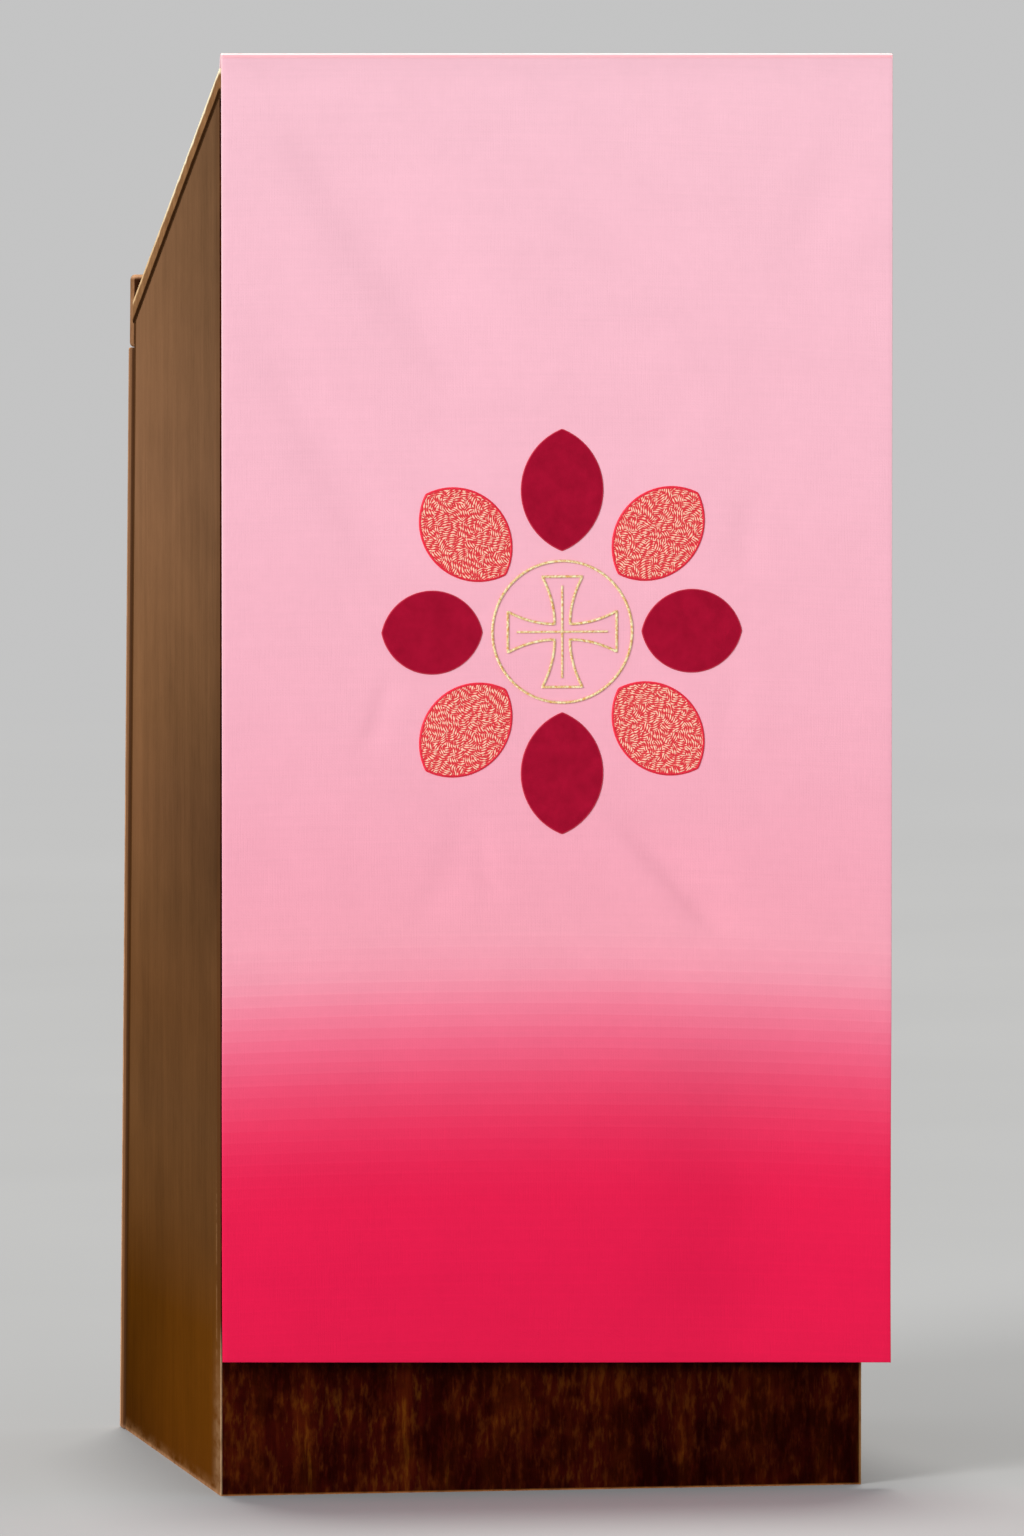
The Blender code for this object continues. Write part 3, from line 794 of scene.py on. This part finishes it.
# partly dye and partly painted shade of a fold
DEEP_DYE_AND_SHADE = 0.335  # where the cloth took up most dye, across from the left edge
THREAD = 0.0006  # from one thread to the next
HIGHLIGHT_WHITE = tint(255, 246, 234)
FOLD_SHADE_TONE = tint(232, 158, 166)

weave = Finish("dyed weave", {
    "Roughness": 0.9,
    "Specular IOR Level": 0.05,
    "Sheen Weight": 0.05,
    "Sheen Roughness": 0.45,
    "Sheen Tint": (1.0, 0.92, 0.90, 1.0),
})
across, above, _ = weave.split(weave.flat())
_, y, z = weave.split(weave.place())
from_line_top = across - LINE_TOP
from_dye_top = across - DYE_TOP
weft = above + from_line_top * from_line_top * LINE_SAG
unsteady = (weave.noise((across * 4.0, weft * 70.0, 5.0), Detail=1.0) - 0.5) * 0.0016
band = ((weft + unsteady) / BAND).part()
# dye and painted shade: a soft deeper patch low down, partly deeper dye and partly the shade of the fold
# there
dye_and_shade_dip = across.near(DEEP_DYE_AND_SHADE, 0.11) * (1 - above.between(0.29, 0.36))
bath = above + from_dye_top * from_dye_top * DYE_SAG - dye_and_shade_dip * 0.0030 - (band - 0.5) * (BAND * BAND_SHARE)
dye = weave.ramp(bath, DYE, DYE_SPAN)
light_line = (1 - band.between(0.05, 0.30)) * (1 - above.between(0.33, 0.40))
weft_streaks = weave.noise((across * 6.0, weft * 420.0, 0.0), Detail=1.0)
clouds = weave.noise((across * 22.0, weft * 22.0, 3.0), Detail=3.0, Roughness=0.6)
specks = weave.noise((across * 110.0, weft * 110.0, 4.0))
uneven = 1 + light_line * 0.012 + (weft_streaks - 0.5) * 0.04 + (clouds - 0.5) * 0.08 + (specks - 0.5) * 0.04
colour = weave.shade(dye, uneven)
# painted highlights: a near-white line along the top of the fold and pale selvedges, where light catches the
# turned cloth
selvedge_highlight = across.near(0.0, 0.0016).most(across.near(COVER_WIDTH, 0.0016))
fold_highlight = z.between(1.1986, 1.1994)
painted_highlights = (selvedge_highlight * z.between(0.40, 0.90) * 0.25).most(fold_highlight * 0.5)
# painted shade: just under the fold, on the front only, the cloth is darkened and reddened as the roll turns
# away from the light above
in_front = 1 - y.between(NOSE_Y, NOSE_Y + 0.003)
fold_shade = z.between(1.1945, 1.1982) * (1 - fold_highlight) * in_front
# painted shade: the top of the fall is a little darker
colour = weave.shade(colour, 1 - z.between(1.170, 1.196) * 0.035)
colour = weave.mix(fold_shade * 0.8, colour, FOLD_SHADE_TONE)
weave.feed("Base Color", weave.mix(painted_highlights, colour, HIGHLIGHT_WHITE))

over_under = (across * (math.pi / THREAD)).wave() * (above * (math.pi / THREAD)).wave()
warp_slubs = weave.noise((across * 900.0, above * 40.0, 1.0), Detail=1.0)
weft_slubs = weave.noise((across * 40.0, above * 900.0, 2.0), Detail=1.0)
weave.relief(over_under * 0.5 + warp_slubs + weft_slubs, 0.00012)

# %% The cover itself
points, faces, kept = two_faces(middle, from_rim, CLOTH)
cover = make_piece("cover_weave", points, faces, weave.material, flat_place[kept])
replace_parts(cover, "cover_cloth")

# %% [markdown]
# ## The patches of the rosette
#
# Each patch is a pointed oval of firm cloth, under a millimetre thick: two equal arcs that meet in tips.
# Four are crimson wool and four coral brocade. A patch is built as a shell of rings: it starts at a pole
# in the middle of its underside, runs out to the rim, turns over it and comes back to a pole on top. It
# follows the folds of the cloth under it.

# %% Places on the rosette
MOTIF_X = 0.0138
MOTIF_Z = 0.7192
PATCH = 0.0006  # thickness near the rim; the middle stands a fifth higher
UNDER_PATCH = 0.00005  # from the cloth to the patch
PETAL_HALF_WIDTH = 0.035
BORDER = 0.0026  # width of the satin stitching round a brocade petal
FINE_BORDER = 0.0014  # and round a crimson one
INNER_TIP = 0.067  # a petal's tips, from the rosette's middle
CRIMSON_PETALS = (  # name, turn clockwise from upright, outer tip
    ("top", 0.0, 0.169),
    ("right", 90.0, 0.1525),
    ("bottom", 180.0, 0.169),
    ("left", 270.0, 0.1525),
)
BROCADE_PETALS = (
    ("upper_right", 45.0, 0.163),
    ("lower_right", 135.0, 0.163),
    ("lower_left", 225.0, 0.163),
    ("upper_left", 315.0, 0.163),
)


def on_rosette(flat, rise, turn=0.0):
    """Points (across, up) turned clockwise about the rosette's middle, this rise in front of the cloth."""
    angle = math.radians(turn)
    x = MOTIF_X + flat[..., 0] * math.cos(angle) + flat[..., 1] * math.sin(angle)
    z = MOTIF_Z + flat[..., 1] * math.cos(angle) - flat[..., 0] * math.sin(angle)
    y = NOSE_Y - FRONT_GAP - CLOTH + fold_depth(x, z) - rise
    return np.stack([x, y, z], axis=-1)


def inside_border(outer_tip, border):
    """Half a petal's length and width less half its border, and its middle's place up from the rosette's."""
    half_length = (outer_tip - INNER_TIP - border) / 2
    return half_length, PETAL_HALF_WIDTH - border / 2, np.array([0.0, (INNER_TIP + outer_tip) / 2])


def petal_outline(half_length, half_width, count):
    """A pointed oval about the origin: two arcs of radius (a * a + b * b) / (2 b) through both tips."""
    radius = (half_length ** 2 + half_width ** 2) / (2 * half_width)
    sweep = math.asin(half_length / radius)
    angles = np.linspace(-sweep, sweep, count // 2, endpoint=False)
    arc = np.stack([radius * np.cos(angles) - (radius - half_width), radius * np.sin(angles)], axis=1)
    return np.concatenate([arc, -arc])


def petal_area(half_length, half_width):
    """Flat area of the pointed oval: 2 * (R * R * sweep - a * (R - b))."""
    radius = (half_length ** 2 + half_width ** 2) / (2 * half_width)
    return 2 * (radius ** 2 * math.asin(half_length / radius) - half_length * (radius - half_width))


def petal_shell(half_length, half_width, count):
    """Rings of a patch as shares of its outline, and their rise, from the underside's pole to the top's."""
    ring_share = np.array([0.5, 0.9, 0.992, 1.0, 1.0, 0.992, 0.975, 0.9, 0.7, 0.4])[:, None, None]
    ring_rise = np.array([0.0, 0.0, 0.0, 0.25, 0.6, 0.88, 1.0, 1.05, 1.15, 1.2])
    rings = petal_outline(half_length, half_width, count)[None] * ring_share
    rise = np.broadcast_to((UNDER_PATCH + PATCH * ring_rise)[:, None], rings.shape[:2])
    poles = np.zeros((2, 2))
    flat = np.concatenate([rings.reshape(-1, 2), poles])
    rise = np.concatenate([rise.ravel(), [UNDER_PATCH, UNDER_PATCH + PATCH * ring_rise[-1]]])
    rows = len(ring_rise)
    faces = [
        grid_faces(rows, count, columns_close=True),
        pole_faces(np.arange(count), rows * count),
        pole_faces(np.arange(count)[::-1] + (rows - 1) * count, rows * count + 1),
    ]
    return flat, rise, faces


# %% [markdown]
# ## Crimson wool and coral brocade
#
# The crimson wool is a close twill with hardly any shine: fine slanting ribs and a slight cloudiness.
# The brocade has a coral ground covered with short curved strokes of cream silk. The plane is cut into
# small cells, and by chance a cell's strokes lean one way or run nearly across it, with some scatter.
# Inside a cell they are waves, bent into arcs and broken up by a second, slower wave. The sum is the
# height of the silk, and the colour climbs with it from coral to cream, partly as painted light and
# shade: over the brocade's own coral ground and cream silk, the raised silk is painted paler on top.

# %% Two cloths for patches
TWILL = 0.0009
STROKE = 0.0019  # from one silk stroke to the next
BREAK = STROKE * 3.2  # from one break in the strokes to the next
BEND = 50.0  # of a stroke, in metres per square metre along it
CELL = 0.0070  # size of a cell of strokes that run the same way

crimson = Finish("crimson wool", {
    "Roughness": 0.85,
    "Specular IOR Level": 0.05,
    "Sheen Weight": 0.04,
    "Sheen Roughness": 0.4,
    "Sheen Tint": (1.0, 0.45, 0.5, 1.0),
})
across, up, _ = crimson.split(crimson.flat())
ribs = ((across + up) * (math.tau / TWILL)).wave()
felt = crimson.noise((across * 60.0, up * 60.0, 0.0), Detail=4.0, Roughness=0.6)
crimson.feed("Base Color", crimson.ramp(felt, [(0.3, 158, 10, 44), (0.7, 178, 15, 52)]))
crimson.relief(ribs * 0.5 + felt, 0.00015)

brocade = Finish("coral brocade", {
    "Roughness": 0.55,
    "Specular IOR Level": 0.3,
    "Sheen Weight": 0.15,
})
across, up, _ = brocade.split(brocade.flat())
wander = brocade.noise(brocade.flat(), Scale=120.0, Detail=1.0)
cell_sockets = {"Vector": brocade.flat(), "Scale": 1 / CELL}
cell = brocade.node("ShaderNodeTexVoronoi", {"voronoi_dimensions": "2D"}, cell_sockets, "Color")
cell_middle = Wire(brocade, cell.socket.node.outputs["Position"])
chance, lean, _ = brocade.split(cell)
middle_x, middle_y, _ = brocade.split(cell_middle)
turn = chance.between(0.49, 0.51) * (math.pi / 2) + lean * 1.1 + 0.25
turn_cos = combine("COSINE", turn)
turn_sin = turn.wave()
from_x = across - middle_x
from_y = up - middle_y
over = from_x * turn_cos + from_y * turn_sin
beside = from_y * turn_cos - from_x * turn_sin
strokes = ((over + beside * beside * BEND + (wander - 0.5) * 0.003) * (math.tau / STROKE)).wave()
breaks = ((beside + over * 0.5) * (math.tau / BREAK) + chance * 9.0).wave()
clumps = brocade.noise(brocade.flat(), Scale=400.0)
height = strokes * 0.9 + breaks * 0.6 + (clumps - 0.5) * 3.0
silk = height.between(-0.6, 1.3)
# coral ground and cream silk, with painted light and shade: paler the higher the silk stands
threads = brocade.ramp(silk, [
    (0.10, 218, 44, 56),
    (0.38, 240, 82, 84),
    (0.60, 255, 146, 128),
    (0.92, 255, 214, 188),
])
brocade.feed("Base Color", brocade.shade(threads, 0.94 + wander * 0.12))
brocade.relief(silk, 0.0002)


# %% Making the patches
PETAL_POINTS = 120


def make_patch(cloth, kind, petal, finish, border):
    """One sewn patch, its rim under the middle of its stitching; each is cut from another place."""
    side, turn, outer_tip = petal
    half_length, half_width, petal_middle = inside_border(outer_tip, border)
    flat, rise, faces = petal_shell(half_length, half_width, PETAL_POINTS)
    placed = on_rosette(flat + petal_middle, rise, turn)
    patch = make_piece(f"{cloth}_{side}", placed, faces, finish.material, flat + turn / 90)
    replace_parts(patch, f"{kind}_{side}")
    area = petal_area(half_length, half_width)
    2 * half_width
    2 * half_length
    print(f"  cut {2e3 * half_width:.0f} by {2e3 * half_length:.0f} mm, {area * 1e4:.1f} square cm")


for petal in CRIMSON_PETALS:
    make_patch("crimson_wool", "crimson_petal", petal, crimson, FINE_BORDER)
for petal in BROCADE_PETALS:
    make_patch("brocade_cloth", "brocade_petal", petal, brocade, BORDER)

# %% [markdown]
# ## Satin stitching
#
# The cut rims are covered by satin stitch: threads laid side by side across the rim. A narrow band is
# carried along the outline, flat underneath and arched on top, and the arch rises and falls once for
# every thread. The ridges lean a little, as stitches do.

# %% Lines to follow
def even_line(line, spacing, closed=True):
    """The same line with points at equal distances close to the spacing, and its length."""
    ends = np.concatenate([line, line[:1]]) if closed else line
    reach = np.concatenate([[0.0], np.cumsum(np.linalg.norm(np.diff(ends, axis=0), axis=1))])
    count = max(8, round(reach[-1] / spacing))
    wanted = np.linspace(0.0, reach[-1], count, endpoint=not closed)
    return np.stack([np.interp(wanted, reach, ends[:, axis]) for axis in (0, 1)], axis=1), reach[-1]


def rounded(line, points_each_way):
    """A closed line with its corners rounded: each point becomes the weighted mean of its neighbours."""
    steps = range(-points_each_way, points_each_way + 1)
    weights = np.hanning(2 * points_each_way + 3)[1:-1]
    total = sum(weight * np.roll(line, step, axis=0) for step, weight in zip(steps, weights))
    return total / weights.sum()


def sideways(line, closed=True):
    """Direction to the right of the line at each point."""
    if closed:
        ahead = np.roll(line, -1, axis=0) - np.roll(line, 1, axis=0)
    else:
        ahead = np.gradient(line, axis=0)
    ahead = ahead / np.linalg.norm(ahead, axis=1, keepdims=True)
    return np.stack([ahead[:, 1], -ahead[:, 0]], axis=1)


# %% Stitched borders
STITCH = 0.0006  # from one thread to the next
SAMPLES = 3  # points along the rim for each thread
SECTION = 8  # points round the band
LEAN = 0.25  # how far a stitch leans along the rim for each millimetre across
SUNK = 0.0004  # the stitches go down into the cloth
BORDER_POINTS = 400
STITCH_EASE = 5  # corners are rounded over this many points each way
ARCH = 0.0005  # the stitching stands this far over a brocade patch
FINE_ARCH = 0.0003  # and over a crimson one


def stitched_band(outline, width, rise):
    """A closed band: across = w / 2 * cos(a), lift = rise * max(sin(a), 0) ** 1.4, ridged along it."""
    line, length = even_line(outline, STITCH / SAMPLES)
    line = rounded(line, STITCH_EASE)
    threads = round(length / STITCH)
    along = full_turn(len(line))[:, None] * threads
    angle = full_turn(SECTION)
    across = width / 2 * np.cos(angle)
    ridge = 0.80 + 0.20 * np.sin(along + math.tau * LEAN * across / STITCH)
    lift = rise * np.maximum(np.sin(angle), 0.0) ** 1.4 * ridge - SUNK * (np.sin(angle) < -0.1)
    flat = line[:, None, :] + across[..., None] * sideways(line)[:, None, :]
    return flat, lift, [grid_faces(len(line), SECTION, rows_close=True, columns_close=True)]


def stitching_silk(name, dark, light):
    """A silk whose tone wanders from thread to thread."""
    silk = Finish(name, {"Roughness": 0.5, "Specular IOR Level": 0.3, "Sheen Weight": 0.1})
    silk_tone = silk.noise(silk.place(), Scale=900.0, Detail=1.0)
    silk.feed("Base Color", silk.ramp(silk_tone, [(0.3, *dark), (0.7, *light)]))
    return silk


def make_border(cloth, petal, silk, border, arch):
    """The stitching round one petal, its outer edge on the petal's outline."""
    side, turn, outer_tip = petal
    half_length, half_width, petal_middle = inside_border(outer_tip, border)
    outline = petal_outline(half_length, half_width, BORDER_POINTS) + petal_middle
    flat, lift, faces = stitched_band(outline, border, PATCH + arch)
    make_piece(f"{cloth}_{side}", on_rosette(flat, lift, turn), faces, silk.material)


coral_silk = stitching_silk("coral stitching", (232, 24, 52), (246, 44, 74))
# painted highlight: the crimson stitching is painted lighter than the crimson wool, as a highlight along the
# stitched rims
crimson_silk = stitching_silk("crimson stitching", (182, 16, 52), (206, 30, 70))
for petal in CRIMSON_PETALS:
    make_border("crimson_edge", petal, crimson_silk, FINE_BORDER, FINE_ARCH)
for petal in BROCADE_PETALS:
    make_border("coral_edge", petal, coral_silk, BORDER, ARCH)

# %% [markdown]
# ## Gold cord
#
# Gold cord is couched: it is too stiff to be drawn through cloth, so it is laid on top and sewn down. It
# is two strands wound round each other. A slice across it shows two discs side by side, and the pair
# turns as one goes along, so each strand is a tube round a line that circles the cord's own line. The
# couching presses the cord a little flat.

# %% Gold cord
CORD_HALF = 0.0012  # half the cord's width
CORD_TWIST = 0.0032  # length of one full turn of the two strands
CORD_SQUASH = 0.45  # height over width
THREAD_HALF = 0.0010
THREAD_TWIST = 0.0024
SLICES = 10  # along one turn
STRAND_SIDES = 6
CORD_EASE = 4  # as for the stitching
STRAND_SWELL = 1.12  # the strands press into each other by this much

gold = Finish("gold cord", {"Metallic": 0.18, "Roughness": 0.36})
gleam = gold.noise(gold.place(), Scale=420.0)
gold.feed("Base Color", gold.ramp(gleam, [(0.32, 226, 168, 74), (0.66, 255, 252, 208)]))
gold.relief(gold.noise(gold.place(), Scale=2600.0, Detail=1.0), 0.00008)


def twisted_cord(line, half, twist, closed):
    """Two strands round a line: their middle = line + r * (cos(t) sideways + squash * sin(t) outwards)."""
    line, length = even_line(line, twist / SLICES, closed)
    if closed:
        line = rounded(line, CORD_EASE)
    turns = round(length / twist)
    side = sideways(line, closed)
    along = np.linspace(0.0, math.tau * turns, len(line), endpoint=not closed)[:, None]
    angle = full_turn(STRAND_SIDES)
    radius = half / 2
    swollen = radius * STRAND_SWELL
    base = GAP * 0.5 + CORD_SQUASH * half
    strands = []
    for start in (0.0, math.pi):
        across = radius * np.cos(along + start) + swollen * np.cos(angle)
        rise = base + CORD_SQUASH * (radius * np.sin(along + start) + swollen * np.sin(angle))
        strands.append((line[:, None, :] + across[..., None] * side[:, None, :], rise))
    return strands


def cord_piece(name, lines, half, twist, closed, node):
    """Cord laid along one or more lines, as one piece; an open end closes on a pole."""
    flats, rises, faces, count = [], [], [], 0
    for line in lines:
        for flat, rise in twisted_cord(line, half, twist, closed):
            rows = len(flat)
            faces.append(grid_faces(rows, STRAND_SIDES, rows_close=closed, columns_close=True) + count)
            flats.append(flat.reshape(-1, 2))
            rises.append(rise.ravel())
            count += rows * STRAND_SIDES
            if not closed:
                last = np.arange(count - 1, count - 1 - STRAND_SIDES, -1)
                first = last[::-1] - (rows - 1) * STRAND_SIDES
                for end, ring in ((0, first), (-1, last)):
                    flats.append(flat[end].mean(axis=0)[None])
                    rises.append(rise[end].mean()[None])
                    faces.append(pole_faces(ring, count))
                    count += 1
    placed = on_rosette(np.concatenate(flats), np.concatenate(rises))
    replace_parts(make_piece(name, placed, faces, gold.material), node)


RING_RADIUS = 0.0590
ARM_INNER = 0.0065
ARM_OUTER = 0.0170
ARM_REACH = 0.0460
THREAD_REACH = 0.0385
RING_POINTS = 360
ARM_POINTS = 25


def quarter_turns(arm):
    """The same points at four quarter turns about the middle: (x, y), (-y, x), (-x, -y) and (y, -x)."""
    x, y = arm.T
    return np.concatenate([np.stack(turned, axis=1) for turned in ((x, y), (-y, x), (-x, -y), (y, -x))])


ring_angles = full_turn(RING_POINTS)
ring_line = RING_RADIUS * np.stack([np.cos(ring_angles), np.sin(ring_angles)], axis=1)
arm_share = np.linspace(0.0, 1.0, ARM_POINTS)
arm_reach = ARM_INNER + (ARM_REACH - ARM_INNER) * arm_share
arm_half = ARM_INNER + (ARM_OUTER - ARM_INNER) * arm_share ** 2
arm_right = np.stack([arm_half, arm_reach], axis=1)
arm_left = np.stack([-arm_half, arm_reach], axis=1)[::-1]
cross_line = quarter_turns(np.concatenate([arm_right, arm_left[:-1]]))
upright = np.array([[0.0, -THREAD_REACH], [0.0, THREAD_REACH]])
level = upright[:, ::-1]

cord_piece("cord_ring", [ring_line], CORD_HALF, CORD_TWIST, True, "gold_ring")
cord_piece("cord_cross", [cross_line], CORD_HALF, CORD_TWIST, True, "gold_cross_outline")
cord_piece("cord_cross_middle", [upright, level], THREAD_HALF, THREAD_TWIST, False, "gold_cross_thread")
